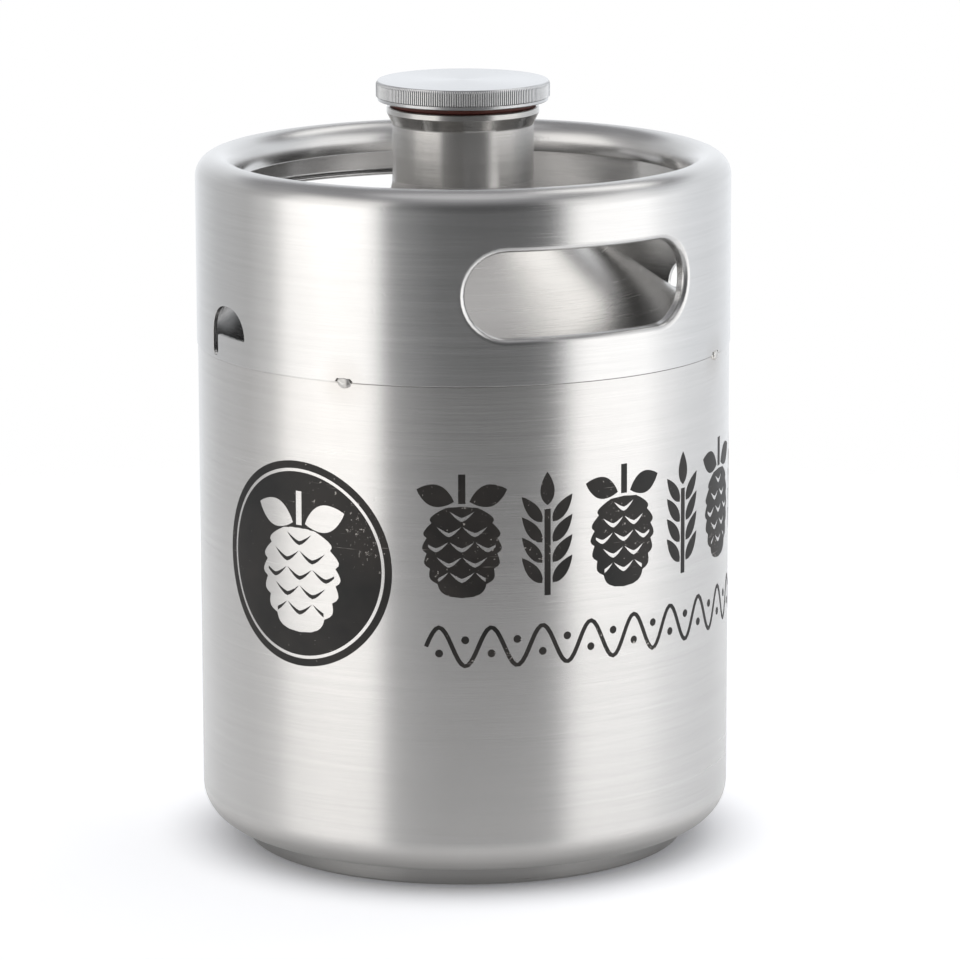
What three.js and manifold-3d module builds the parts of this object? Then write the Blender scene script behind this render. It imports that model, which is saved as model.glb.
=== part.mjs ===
// A two-litre stainless steel mini beer keg: a deep-drawn vessel with a welded dome and a
// threaded neck, a carrying collar with two hand slots, a foot ring, and a knurled screw cap
// on a silicone gasket. Millimetres, +Z up. The origin is the centre of the base, and the
// hand slots face -Y and +Y. An angle is measured round the axis from -Y towards +X.
import * as THREE from 'three';
import { mergeVertices } from 'three/addons/utils/BufferGeometryUtils.js';
import Module from 'manifold-3d';

const wasm = await Module();
wasm.setup();

// Driving dimensions
const COLLAR_R = 68.5;
const COLLAR_SHEET = 1.0;
const BODY_R = 68.25;
const VESSEL_SHEET = 0.8;
const SEAM_Z = 129.9; // the collar's bottom edge
const BASE_Z = 4.8; // underside of the vessel's flat bottom
const BASE_CORNER_R = 9.2;
const DOME_SLOPE = THREE.MathUtils.degToRad(34.5);
const DOME_CORNER_R = 8.2;
const ROLL_R = 5.4; // the collar's rolled top edge
const ROLL_Z = 172.7;
const ROLL_WRAP = THREE.MathUtils.degToRad(203);
const NECK_R = 18.1;
const NECK_BORE_R = 15.8;
const LIP_R = 19.5;
const LIP_Z = 190.1;
const CAP_R = 22.2;
const CAP_TOP_Z = 196.7;
const GAP = 0.3; // clearance left between pieces that meet

// Screw thread of the cap and neck
const THREAD_PITCH = 3.0;
const THREAD_ROOT_R = 15.4;
const THREAD_CREST_R = 16.35;
const THREAD_ROOT_WIDTH = 1.9;
const THREAD_CREST_WIDTH = 0.9;
const THREAD_CLEARANCE = 0.3;

// Facets round each kind of part
const WIDE_FACETS = 60;
const NECK_FACETS = 36;

// Materials
const BRUSHED = { color: 0xb4b2ae, roughness: 0.34, metalness: 1.0 };
const TURNED = { color: 0xbdbbb7, roughness: 0.26, metalness: 1.0 };
const WELD = { color: 0x8f8880, roughness: 0.5, metalness: 1.0 };
const SILICONE = { color: 0x5a2f28, roughness: 0.7, metalness: 0.0 };

const group = new THREE.Group();

function addPiece(name, geometry, look) {
  const mesh = new THREE.Mesh(geometry, new THREE.MeshStandardMaterial(look));
  mesh.name = name;
  group.add(mesh);
}

function toSolid(geometry) {
  const bare = geometry.clone();
  bare.deleteAttribute('normal');
  bare.deleteAttribute('uv');
  const merged = mergeVertices(bare, 1e-4);
  return new wasm.Manifold(new wasm.Mesh({
    numProp: 3,
    vertProperties: new Float32Array(merged.attributes.position.array),
    triVerts: new Uint32Array(merged.index.array),
  }));
}

function toGeometry(solid) {
  const mesh = solid.getMesh();
  const geometry = new THREE.BufferGeometry();
  geometry.setAttribute('position', new THREE.BufferAttribute(mesh.vertProperties, 3));
  geometry.setIndex(new THREE.BufferAttribute(mesh.triVerts, 1));
  geometry.computeVertexNormals();
  return geometry;
}

// Points [radius, z] on an arc about a centre, angles in radians from +radius towards +z.
function arc(centreR, centreZ, radius, from, to, steps) {
  return Array.from({ length: steps + 1 }, (_, i) => {
    const angle = from + ((to - from) * i) / steps;
    return [centreR + radius * Math.cos(angle), centreZ + radius * Math.sin(angle)];
  });
}

// A ring or disc turned about the axis. The outline runs counterclockwise in (radius, z), and
// closes on itself unless it starts and ends on the axis.
function turned(outline, facets) {
  const points = outline.map(([radius, z]) => new THREE.Vector2(radius, z));
  const onAxis = outline[0][0] === 0;
  if (!onAxis) points.push(points[0].clone());
  return new THREE.LatheGeometry(points, facets).rotateX(Math.PI / 2);
}

// A shape drawn flat in (arc length, height), given depth from the inner to the outer radius
// and bent round the axis at an angle.
function bent(shape, innerR, outerR, angle) {
  const depth = outerR - innerR;
  const geometry = new THREE.ExtrudeGeometry(shape, { depth, bevelEnabled: false });
  const position = geometry.attributes.position;
  for (let i = 0; i < position.count; i += 1) {
    const turn = angle + position.getX(i) / COLLAR_R;
    const radius = innerR + position.getZ(i);
    position.setXYZ(i, radius * Math.sin(turn), -radius * Math.cos(turn), position.getY(i));
  }
  return geometry;
}

// The outline of a slot with round ends, as [arc length, height] points, with its long edges cut
// into steps so that it can bend.
function stadium(length, height, centreZ) {
  const LONG_STEPS = 10;
  const END_STEPS = 8;
  const radius = height / 2;
  const half = length / 2 - radius;
  const points = [];
  for (const side of [1, -1]) {
    for (let i = 0; i <= END_STEPS; i += 1) {
      const angle = -Math.PI / 2 + (Math.PI * i) / END_STEPS;
      points.push([side * (half + radius * Math.cos(angle)), side * radius * Math.sin(angle)]);
    }
    for (let i = 1; i < LONG_STEPS; i += 1) {
      points.push([side * (half - (2 * half * i) / LONG_STEPS), side * radius]);
    }
  }
  return points.map(([x, z]) => [x, centreZ + z]);
}

function shapeOf(outline) {
  return new THREE.Shape(outline.map(([x, z]) => new THREE.Vector2(x, z)));
}

// A closed geometry swept through stations, each an outline of the same number of [x, y, z]
// points. The last station joins the first if closed is true, and both ends are capped if not.
function stationGeometry(stations, closed) {
  const size = stations[0].length;
  const faces = [];
  const count = closed ? stations.length : stations.length - 1;
  for (let i = 0; i < count; i += 1) {
    const next = (i + 1) % stations.length;
    for (let j = 0; j < size; j += 1) {
      const after = (j + 1) % size;
      const [a, b] = [i * size + j, i * size + after];
      const [c, d] = [next * size + j, next * size + after];
      faces.push(a, c, b, b, c, d);
    }
  }
  if (!closed) {
    const last = (stations.length - 1) * size;
    for (let j = 1; j < size - 1; j += 1) {
      faces.push(0, j, j + 1);
      faces.push(last, last + j + 1, last + j);
    }
  }
  const geometry = new THREE.BufferGeometry();
  geometry.setAttribute('position', new THREE.Float32BufferAttribute(stations.flat(2), 3));
  geometry.setIndex(faces);
  return geometry;
}

// A ring between two slot outlines, bent round the axis between two radii.
function bentRing(outline, hole, innerR, outerR, angle) {
  const place = ([x, z], radius) => {
    const turn = angle + x / COLLAR_R;
    return [radius * Math.sin(turn), -radius * Math.cos(turn), z];
  };
  const stations = outline.map((point, i) => [
    place(point, outerR), place(hole[i], outerR), place(hole[i], innerR), place(point, innerR),
  ]);
  return stationGeometry(stations, true);
}

// An arched drain opening with a narrow leg going down from its left end.
function drainShape() {
  const HALF_WIDTH = 8.5;
  const ARCH_HEIGHT = 7.9;
  const FLAT_Z = 136.2;
  const LEG_WIDTH = 3.3;
  const LEG_DEPTH = 5.6;
  const legR = LEG_WIDTH / 2;
  const shape = new THREE.Shape();
  shape.moveTo(HALF_WIDTH, FLAT_Z);
  shape.absellipse(0, FLAT_Z, HALF_WIDTH, ARCH_HEIGHT, 0, Math.PI, false, 0);
  shape.absarc(legR - HALF_WIDTH, FLAT_Z - LEG_DEPTH + legR, legR, Math.PI, 2 * Math.PI, false);
  shape.lineTo(LEG_WIDTH - HALF_WIDTH, FLAT_Z);
  shape.closePath();
  const points = shape.getPoints(5);
  return new THREE.Shape(points);
}

function rectangle(width, bottom, top) {
  const half = width / 2;
  return shapeOf([[-half, bottom], [half, bottom], [half, top], [-half, top]]);
}

// The vessel's lower half: wall, rounded corner and flat bottom.
function bodyShell() {
  const TOP_Z = SEAM_Z - 0.9;
  const CORNER_STEPS = 4;
  const innerR = BODY_R - VESSEL_SHEET;
  const centreR = BODY_R - BASE_CORNER_R;
  const centreZ = BASE_Z + BASE_CORNER_R;
  const outer = arc(centreR, centreZ, BASE_CORNER_R, -Math.PI / 2, 0, CORNER_STEPS);
  const inner = arc(centreR, centreZ, BASE_CORNER_R - VESSEL_SHEET, 0, -Math.PI / 2, CORNER_STEPS);
  return turned([
    [0, BASE_Z], ...outer, [BODY_R, TOP_Z], [innerR, TOP_Z], ...inner, [0, BASE_Z + VESSEL_SHEET],
  ], WIDE_FACETS);
}

const DOME_R = COLLAR_R - COLLAR_SHEET - GAP;
const DOME_ARC_R = DOME_R - DOME_CORNER_R;
const DOME_ARC_Z = 128.8;
const DOME_HOLE_R = NECK_R + GAP;

// Height of the dome's outer cone at a radius.
function domeZ(radius) {
  const startR = DOME_ARC_R + DOME_CORNER_R * Math.sin(DOME_SLOPE);
  const startZ = DOME_ARC_Z + DOME_CORNER_R * Math.cos(DOME_SLOPE);
  return startZ + (startR - radius) * Math.tan(DOME_SLOPE);
}

// The vessel's upper half: a skirt that slips inside the body, a rounded shoulder and a cone
// up to the neck hole.
function bodyDome() {
  const SKIRT_Z = SEAM_Z - 4;
  const SHOULDER_STEPS = 3;
  const top = Math.PI / 2 - DOME_SLOPE;
  const inside = VESSEL_SHEET / Math.cos(DOME_SLOPE);
  const outer = arc(DOME_ARC_R, DOME_ARC_Z, DOME_CORNER_R, 0, top, SHOULDER_STEPS);
  const inner = arc(DOME_ARC_R, DOME_ARC_Z, DOME_CORNER_R - VESSEL_SHEET, top, 0, SHOULDER_STEPS);
  return turned([
    [DOME_R, SKIRT_Z], ...outer,
    [DOME_HOLE_R, domeZ(DOME_HOLE_R)], [DOME_HOLE_R, domeZ(DOME_HOLE_R) - inside],
    ...inner, [DOME_R - VESSEL_SHEET, SKIRT_Z],
  ], WIDE_FACETS);
}

// The continuous bead between the body's top edge and the dome's skirt.
function girthWeld() {
  const HEIGHT = 0.3;
  const low = SEAM_Z - GAP - HEIGHT;
  const inner = DOME_R + GAP;
  const outer = BODY_R - 0.15;
  return turned([[inner, low], [outer, low], [outer, low + HEIGHT], [inner, low + HEIGHT]],
    WIDE_FACETS);
}

// A round-ended helical ridge of trapezoid section, right-handed, buried a little in its core.
function helixRidge(rootR, crestR, rootWidth, crestWidth, startZ, turns) {
  const BURIED = 0.5;
  const section = [
    [rootR - BURIED, -rootWidth / 2], [rootR, -rootWidth / 2], [crestR, -crestWidth / 2],
    [crestR, crestWidth / 2], [rootR, rootWidth / 2], [rootR - BURIED, rootWidth / 2],
  ];
  const steps = turns * NECK_FACETS;
  const stations = Array.from({ length: steps + 1 }, (_, i) => {
    const angle = (2 * Math.PI * i) / NECK_FACETS;
    const rise = startZ + (THREAD_PITCH * i) / NECK_FACETS;
    return section.map(([radius, z]) => (
      [radius * Math.sin(angle), -radius * Math.cos(angle), rise + z]));
  });
  return stationGeometry(stations, false);
}

const THREAD_START_Z = 177.5; // centre of the ridge at angle 0, below the plug's end
const THREAD_TURNS = 5;
const PLUG_END_Z = 179.2;
const PLUG_THREAD_TOP_Z = 189.0;

// A threaded rod between two heights, used for the plug and, made larger, to cut the neck.
function threadedRod(clearance, bottom, top, chamfer) {
  const rootR = THREAD_ROOT_R + clearance;
  const crestR = THREAD_CREST_R + clearance;
  const core = turned([[0, bottom], [rootR, bottom], [rootR, top], [0, top]], NECK_FACETS);
  const ridge = helixRidge(rootR, crestR, THREAD_ROOT_WIDTH + 2 * clearance,
    THREAD_CREST_WIDTH + 2 * clearance, THREAD_START_Z, THREAD_TURNS);
  const envelope = turned([
    [0, bottom], [crestR - chamfer, bottom], [crestR + 0.2, bottom + chamfer + 0.2],
    [crestR + 0.2, top - chamfer - 0.2], [crestR - chamfer, top], [0, top],
  ], NECK_FACETS);
  return toSolid(core).add(toSolid(ridge)).intersect(toSolid(envelope));
}

// The neck bush, with a flared lip and the female thread.
function neck() {
  const BOTTOM_Z = 162.5;
  const FLARE_Z = 185.7;
  const EDGE_Z = 188.6;
  const MOUTH_CHAMFER = 0.7;
  const blank = turned([
    [NECK_BORE_R, BOTTOM_Z], [NECK_R, BOTTOM_Z], [NECK_R, FLARE_Z], [LIP_R, EDGE_Z],
    [LIP_R, LIP_Z - 0.3], [LIP_R - 0.3, LIP_Z], [THREAD_CREST_R + MOUTH_CHAMFER, LIP_Z],
    [NECK_BORE_R, LIP_Z - 2 * MOUTH_CHAMFER],
  ], NECK_FACETS);
  const cutter = threadedRod(THREAD_CLEARANCE, PLUG_END_Z - 2, LIP_Z + 1, 0);
  return toGeometry(toSolid(blank).subtract(cutter));
}

// The weld round the neck's foot, hollow in section, from the cone up to the neck's side.
function neckWeld() {
  const LEG = 4.6;
  const EDGE = 0.25;
  const STEPS = 4;
  const cornerR = NECK_R + GAP;
  const cornerZ = domeZ(cornerR) + GAP / Math.cos(DOME_SLOPE);
  const tipR = cornerR + LEG * Math.cos(DOME_SLOPE);
  const tipZ = cornerZ - LEG * Math.sin(DOME_SLOPE);
  const hollow = Array.from({ length: STEPS + 1 }, (_, i) => {
    const rise = i / STEPS;
    const out = 1 - rise;
    return [
      cornerR + EDGE * (1 - out * out) + (tipR - cornerR) * out * out,
      cornerZ + EDGE * (1 - rise * rise) + (tipZ - cornerZ) * out * out + LEG * rise * rise,
    ];
  });
  return turned([[cornerR, cornerZ], [tipR, tipZ], ...hollow, [cornerR, cornerZ + LEG]],
    NECK_FACETS);
}

const TACK_ANGLES = [-52.9, 41.0, 127.1, 221.0].map(THREE.MathUtils.degToRad);
const DRAIN_ANGLES = [-87.5, 92.5].map(THREE.MathUtils.degToRad);
const SLOT_ANGLES = [0, Math.PI];

// The carrying collar: a hoop with a rolled top edge, two flanged hand slots, two drain
// openings and a small notch in the bottom edge for each tack weld.
function handleCollar() {
  const SLOT_LENGTH = 68.2;
  const SLOT_HEIGHT = 24.6;
  const SLOT_Z = 152.2;
  const FLANGE_DEPTH = 3.2;
  const FLANGE_WIDTH = 1.8;
  const NOTCH_WIDTH = 4.4;
  const NOTCH_HEIGHT = 1.4;
  const ROLL_STEPS = 6;
  const innerR = COLLAR_R - COLLAR_SHEET;
  const centreR = COLLAR_R - ROLL_R;
  const hoop = turned([
    [COLLAR_R, SEAM_Z], ...arc(centreR, ROLL_Z, ROLL_R, 0, ROLL_WRAP, ROLL_STEPS),
    ...arc(centreR, ROLL_Z, ROLL_R - COLLAR_SHEET, ROLL_WRAP, 0, ROLL_STEPS), [innerR, SEAM_Z],
  ], WIDE_FACETS);
  const flangeR = COLLAR_R - FLANGE_DEPTH;
  const cutFromR = COLLAR_R - 10;
  const cutToR = COLLAR_R + 15;
  let solid = toSolid(hoop);
  for (const angle of SLOT_ANGLES) {
    const inset = (amount) => (
      stadium(SLOT_LENGTH - 2 * amount, SLOT_HEIGHT - 2 * amount, SLOT_Z));
    const ring = bentRing(inset(0), inset(FLANGE_WIDTH + 0.2), flangeR, COLLAR_R - 0.3, angle);
    const cutter = bent(shapeOf(inset(FLANGE_WIDTH)), cutFromR, cutToR, angle);
    solid = solid.add(toSolid(ring)).subtract(toSolid(cutter));
  }
  for (const angle of DRAIN_ANGLES) {
    solid = solid.subtract(toSolid(bent(drainShape(), cutFromR, cutToR, angle)));
  }
  for (const angle of TACK_ANGLES) {
    const notch = rectangle(NOTCH_WIDTH, SEAM_Z - 1, SEAM_Z + NOTCH_HEIGHT);
    solid = solid.subtract(toSolid(bent(notch, cutFromR, cutToR, angle)));
  }
  return toGeometry(solid);
}

const FOOT_R = 56.6;
const FOOT_SHEET = 1.2;

function footRing() {
  const top = BASE_Z - GAP;
  const innerR = FOOT_R - FOOT_SHEET;
  return turned([[innerR, 0], [FOOT_R, 0], [FOOT_R, top], [innerR, top]], WIDE_FACETS);
}

const COLLAR_TACK = {
  width: 3.4, depth: 1.0, height: 1.0, radius: COLLAR_R - 0.4, z: SEAM_Z + 0.6,
};
const FOOT_TACK = {
  width: 4.0, depth: 1.2, height: 1.1, radius: FOOT_R - FOOT_SHEET - 1.0, z: BASE_Z - 0.95,
};

// A small flattened weld bead, with its width round the axis.
function tackBead(size, angle) {
  return new THREE.SphereGeometry(0.5, 8, 6)
    .scale(size.width, size.depth, size.height)
    .translate(0, -size.radius, size.z)
    .rotateZ(angle);
}

const CAP_UNDER_Z = 191.6;

// The cap: a knurled disc on a hollow threaded plug.
function screwCap() {
  const BAND_Z = 192.7;
  const BAND_TOP_Z = 195.8;
  const BEVEL = 0.8;
  const CORE_R = 21.7;
  const RELIEF_R = 15.2;
  const HOLLOW_R = 11.5;
  const HOLLOW_TOP_Z = 190.0;
  const RIDGES = 60;
  const RIDGE_DEPTH = 0.4;
  const disc = turned([
    [0, HOLLOW_TOP_Z], [RELIEF_R, HOLLOW_TOP_Z], [RELIEF_R, CAP_UNDER_Z],
    [CAP_R - BEVEL, CAP_UNDER_Z], [CORE_R, BAND_Z], [CORE_R, BAND_TOP_Z],
    [CAP_R - BEVEL, CAP_TOP_Z], [0, CAP_TOP_Z],
  ], NECK_FACETS);
  const plug = threadedRod(0, PLUG_END_Z, PLUG_THREAD_TOP_Z, 0.6);
  const stem = turned([
    [0, PLUG_THREAD_TOP_Z - 1], [RELIEF_R, PLUG_THREAD_TOP_Z - 1],
    [RELIEF_R, HOLLOW_TOP_Z + 1], [0, HOLLOW_TOP_Z + 1],
  ], NECK_FACETS);
  const hollow = turned([
    [0, PLUG_END_Z - 1], [HOLLOW_R, PLUG_END_Z - 1], [HOLLOW_R, HOLLOW_TOP_Z],
    [0, HOLLOW_TOP_Z],
  ], NECK_FACETS);
  const outline = Array.from({ length: 2 * RIDGES }, (_, i) => {
    const angle = (Math.PI * i) / RIDGES;
    const radius = i % 2 === 0 ? CAP_R : CAP_R - RIDGE_DEPTH;
    return new THREE.Vector2(radius * Math.cos(angle), radius * Math.sin(angle));
  });
  const depth = BAND_TOP_Z - BAND_Z;
  const band = new THREE.ExtrudeGeometry(new THREE.Shape(outline), { depth, bevelEnabled: false })
    .translate(0, 0, BAND_Z);
  return toGeometry(
    toSolid(disc).add(plug).add(toSolid(stem)).add(toSolid(band)).subtract(toSolid(hollow)),
  );
}

// The gasket lies on the neck's lip, held round the plug's relief.
function capGasket() {
  const OUTER_R = 18.75;
  const INNER_R = 15.6;
  const low = LIP_Z + GAP;
  const high = CAP_UNDER_Z - GAP;
  const round = 0.3;
  return turned([
    [INNER_R, low], [OUTER_R - round, low], [OUTER_R, low + round], [OUTER_R, high - round],
    [OUTER_R - round, high], [INNER_R, high],
  ], NECK_FACETS);
}

addPiece('body_shell', bodyShell(), BRUSHED);
addPiece('body_dome', bodyDome(), BRUSHED);
addPiece('girth_weld', girthWeld(), WELD);
addPiece('neck', neck(), TURNED);
addPiece('neck_weld', neckWeld(), WELD);
addPiece('handle_collar', handleCollar(), BRUSHED);
addPiece('foot_ring', footRing(), BRUSHED);
TACK_ANGLES.forEach((angle, i) => {
  addPiece(`collar_tack_weld_${i + 1}`, tackBead(COLLAR_TACK, angle), WELD);
  addPiece(`foot_tack_weld_${i + 1}`, tackBead(FOOT_TACK, angle), WELD);
});
addPiece('screw_cap', screwCap(), TURNED);
addPiece('cap_gasket', capGasket(), SILICONE);

export default group;
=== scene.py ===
# The looks of a two-litre stainless steel mini beer keg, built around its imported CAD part.
# Shapes are worked out in millimetres and turned into metres as each mesh is made. The origin is
# the centre of the base, +Z is up, and an angle round the axis is measured from -Y towards +X.
import math

import bmesh
import bpy
import numpy as np
from mathutils import Matrix, Vector, noise
from mathutils.geometry import delaunay_2d_cdt


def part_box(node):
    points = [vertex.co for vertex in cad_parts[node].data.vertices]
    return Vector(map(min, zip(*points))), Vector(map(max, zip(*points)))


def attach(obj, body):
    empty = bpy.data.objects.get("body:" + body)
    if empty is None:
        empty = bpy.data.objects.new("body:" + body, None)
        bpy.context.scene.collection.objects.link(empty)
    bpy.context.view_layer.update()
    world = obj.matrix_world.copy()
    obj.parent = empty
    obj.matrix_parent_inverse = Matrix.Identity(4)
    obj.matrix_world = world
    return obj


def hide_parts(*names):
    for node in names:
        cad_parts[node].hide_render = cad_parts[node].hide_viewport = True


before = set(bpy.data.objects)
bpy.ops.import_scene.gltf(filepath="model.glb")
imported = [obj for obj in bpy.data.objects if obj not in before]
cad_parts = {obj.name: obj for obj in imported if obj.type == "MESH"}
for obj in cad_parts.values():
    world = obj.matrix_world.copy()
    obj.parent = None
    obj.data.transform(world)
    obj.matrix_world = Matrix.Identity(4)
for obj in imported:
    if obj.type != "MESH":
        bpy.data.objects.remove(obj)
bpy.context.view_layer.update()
MM = 0.001


# ---- Dimensions, read from the CAD nodes ----

def span(node, axis):
    """The lowest and highest coordinate of a CAD node along an axis, in millimetres."""
    low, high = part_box(node)
    return low[axis] / MM, high[axis] / MM


COLLAR_R = span("handle_collar", 0)[1]
COLLAR_LOW, COLLAR_TOP = span("handle_collar", 2)
BODY_R = span("body_shell", 0)[1]
BODY_LOW = span("body_shell", 2)[0]
DOME_R = span("body_dome", 0)[1]
DOME_LOW = span("body_dome", 2)[0]
NECK_LOW, NECK_TOP = span("neck", 2)
LIP_R = span("neck", 0)[1]
CAP_R = span("screw_cap", 0)[1]
PLUG_LOW, CAP_TOP = span("screw_cap", 2)
GASKET_R = span("cap_gasket", 0)[1]
GASKET_LOW, GASKET_HIGH = span("cap_gasket", 2)
FOOT_R = span("foot_ring", 0)[1]

COLLAR_SHEET = 1.0
VESSEL_SHEET = 0.8
ROLL_R = 5.4
ROLL_Z = COLLAR_TOP - ROLL_R
ROLL_WRAP = math.radians(203)
DOME_SLOPE = math.radians(34.5)
DOME_CORNER_R = 8.2
NECK_R = 18.1
BASE_CORNER_R = 9.2
EDGE_ROUNDING = 0.12  # of a cut sheet's corners
SEAM_GAP = 0.16  # between the collar and the vessel's wall

# Angles round the axis, from the middle of the front slot
TACK_ANGLES = [math.radians(a) for a in (-52.9, 41.0, 127.1, 221.0)]
DRAIN_ANGLES = [math.radians(a) for a in (-87.5, 92.5)]
SLOT_ANGLES = [0.0, math.pi]

# Fineness of the meshes
WIDE_SEGMENTS = 360
NECK_SEGMENTS = 180
ARC_STEP = math.radians(11)
SAME_POINT = 1e-5


# ---- Mesh building ----

def place(angle, radius, z):
    """The points at these angles, radii and heights."""
    return np.stack(np.broadcast_arrays(radius * np.sin(angle), -radius * np.cos(angle), z), axis=-1)


def pairs(first, second):
    """Plane points from their two coordinates."""
    return np.stack([first, second], axis=-1)


def rightwards(angle):
    """The horizontal direction to the right of one who looks at the axis from outside."""
    return np.stack([np.cos(angle), np.sin(angle), np.zeros_like(angle)], axis=-1)


class Shell:
    """Grids and triangles of points with their normals, gathered into one closed mesh."""

    def __init__(self):
        self.points = []
        self.normals = []
        self.runs = []
        self.faces = []
        self.count = 0

    def add(self, points, normals, runs, faces):
        self.points.append(points.reshape(-1, 3))
        self.normals.append(normals.reshape(-1, 3))
        self.runs.append(np.broadcast_to(runs, points.shape[:-1]).reshape(-1))
        self.faces.extend([[index + self.count for index in face] for face in faces])
        self.count += len(self.points[-1])

    def grid(self, points, normals, runs):
        """Adds a grid of points that faces the side seen with its rows going right and columns up."""
        rows, columns = points.shape[:2]
        index = np.arange(rows * columns).reshape(rows, columns)
        corners = [index[:-1, :-1], index[1:, :-1], index[1:, 1:], index[:-1, 1:]]
        self.add(points, normals, runs, np.stack(corners, axis=-1).reshape(-1, 4).tolist())

    def build(self, name, smooth_normals=False):
        """Makes the object, with coincident points merged."""
        mesh = bpy.data.meshes.new(name)
        mesh.from_pydata((np.concatenate(self.points) * MM).tolist(), [], self.faces)
        outward = mesh.attributes.new("outward", "FLOAT_VECTOR", "POINT")
        outward.data.foreach_set("vector", np.concatenate(self.normals).astype(np.float32).ravel())
        run = mesh.attributes.new("run", "FLOAT", "POINT")
        run.data.foreach_set("value", np.concatenate(self.runs).astype(np.float32))
        merge_points(mesh)
        mesh.shade_smooth()
        normals = np.zeros(len(mesh.vertices) * 3, np.float32)
        mesh.attributes["outward"].data.foreach_get("vector", normals)
        if not smooth_normals:
            mesh.normals_split_custom_set_from_vertices(normals.reshape(-1, 3).tolist())
        mesh.attributes.remove(mesh.attributes["outward"])
        piece = bpy.data.objects.new(name, mesh)
        bpy.context.scene.collection.objects.link(piece)
        return piece


def merge_points(mesh):
    """Joins points at the same place, and drops the faces and points that this leaves empty."""
    same = 2e-7
    work = bmesh.new()
    work.from_mesh(mesh)
    bmesh.ops.remove_doubles(work, verts=work.verts, dist=same)
    bmesh.ops.dissolve_degenerate(work, dist=same, edges=work.edges)
    work.to_mesh(mesh)
    work.free()


def unit(vector):
    """The vector at length 1."""
    return vector / np.linalg.norm(vector)


def right_of(direction):
    """The direction a quarter turn clockwise."""
    return np.array([direction[1], -direction[0]])


def turned_by(vector, angle):
    """The plane vector turned counterclockwise."""
    c, s = math.cos(angle), math.sin(angle)
    return np.array([c * vector[0] - s * vector[1], s * vector[0] + c * vector[1]])


class Line:
    """Points along a line in a plane, with the normal on its right-hand side at each."""

    def __init__(self):
        self.points = []
        self.normals = []

    def put(self, point, normal):
        if self.points and np.linalg.norm(self.points[-1] - point) < SAME_POINT:
            return
        self.points.append(np.array(point, float))
        self.normals.append(np.array(normal, float))

    def straight(self, point, step):
        """Goes straight to a point, in steps no longer than step."""
        start = self.points[-1]
        if np.linalg.norm(point - start) < SAME_POINT:
            return
        normal = right_of(unit(point - start))
        count = max(1, math.ceil(np.linalg.norm(point - start) / step - 1e-6))
        for i in range(1, count + 1):
            self.put(start + (point - start) * i / count, normal)

    def arc(self, centre, radius, start, end, side=1):
        """Goes round an arc. side is 1 where the centre is on the left, and -1 on the right."""
        centre = np.array(centre, float)
        count = max(3, math.ceil(abs(end - start) / ARC_STEP))
        for i in range(count + 1):
            angle = start + (end - start) * i / count
            spoke = np.array([math.cos(angle), math.sin(angle)])
            self.put(centre + radius * spoke, side * spoke)

    def arrays(self):
        """The points, the normals, and each point's distance along the line."""
        points = np.array(self.points)
        steps = np.linalg.norm(np.diff(points, axis=0), axis=1)
        return points, np.array(self.normals), np.concatenate([[0.0], np.cumsum(steps)])


def rounded(corners, closed=True, step=math.inf):
    """A line through [x, y, rounding] corners, each rounded by an arc. It runs counterclockwise
    round what it encloses, so that its normals point outwards. Its straights are in steps no
    longer than step."""
    line = Line()
    spots = [np.array(corner[:2], float) for corner in corners]
    count = len(spots)
    for i, corner in enumerate(corners):
        if not closed and i in (0, count - 1):
            ahead = spots[1] - spots[0] if i == 0 else spots[-1] - spots[-2]
            if i == 0:
                line.put(spots[0], right_of(unit(ahead)))
            else:
                line.straight(spots[-1], step)
            continue
        before = unit(spots[i] - spots[i - 1])
        after = unit(spots[(i + 1) % count] - spots[i])
        turn = math.atan2(before[0] * after[1] - before[1] * after[0], before @ after)
        side = math.copysign(1, turn)
        start = spots[i] - before * corner[2] * math.tan(abs(turn) / 2)
        if line.points:
            line.straight(start, step)
        centre = start - right_of(before) * corner[2] * side
        steps = max(3, math.ceil(abs(turn) / ARC_STEP))
        for k in range(steps + 1):
            normal = turned_by(right_of(before), turn * k / steps)
            line.put(centre + normal * corner[2] * side, normal)
    if closed:
        line.straight(line.points[0], step)
        line.normals[-1] = line.normals[0]
    return line.arrays()


def round_angles(segments):
    """The angles of a whole turn, its first repeated at its end."""
    return np.linspace(0, 2 * math.pi, segments + 1)


def revolve(shell, profile, angles):
    """Turns an [r, z] profile about the axis."""
    points, normals, runs = profile
    around = angles[:, None]
    shell.grid(place(around, points[:, 0], points[:, 1]),
               place(around, normals[:, 0], normals[:, 1]), runs)


def turned_piece(name, corners, segments=WIDE_SEGMENTS, closed=True):
    """A piece that is one outline of [r, z, rounding] corners turned about the axis."""
    shell = Shell()
    revolve(shell, rounded(corners, closed), round_angles(segments))
    return shell.build(name)


def fill(loops, inner_points):
    """Triangles over the area between closed loops, counted even-odd, with the inner points that
    lie inside it and not too near its edge."""
    clearance = 0.7
    edge_points = np.concatenate(loops)
    spaced = [p for p in inner_points
              if inside(p[None], loops)[0] and np.min(np.hypot(*(edge_points - p).T)) > clearance]
    edges = []
    start = 0
    for loop in loops:
        count = len(loop)
        edges += [(start + i, start + (i + 1) % count) for i in range(count)]
        start += count
    spots = [Vector(p) for p in edge_points] + [Vector(p) for p in spaced]
    made = delaunay_2d_cdt(spots, edges, [], 0, 1e-6)
    points = np.array([tuple(v) for v in made[0]])
    triangles = np.array([tuple(t) for t in made[2]])
    triangles = triangles[inside(points[triangles].mean(axis=1), loops)]
    a, b, c = (points[triangles[:, i]] for i in range(3))
    clockwise = np.cross(b - a, c - a) < 0
    triangles[clockwise] = triangles[clockwise][:, ::-1]
    return points, triangles


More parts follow.
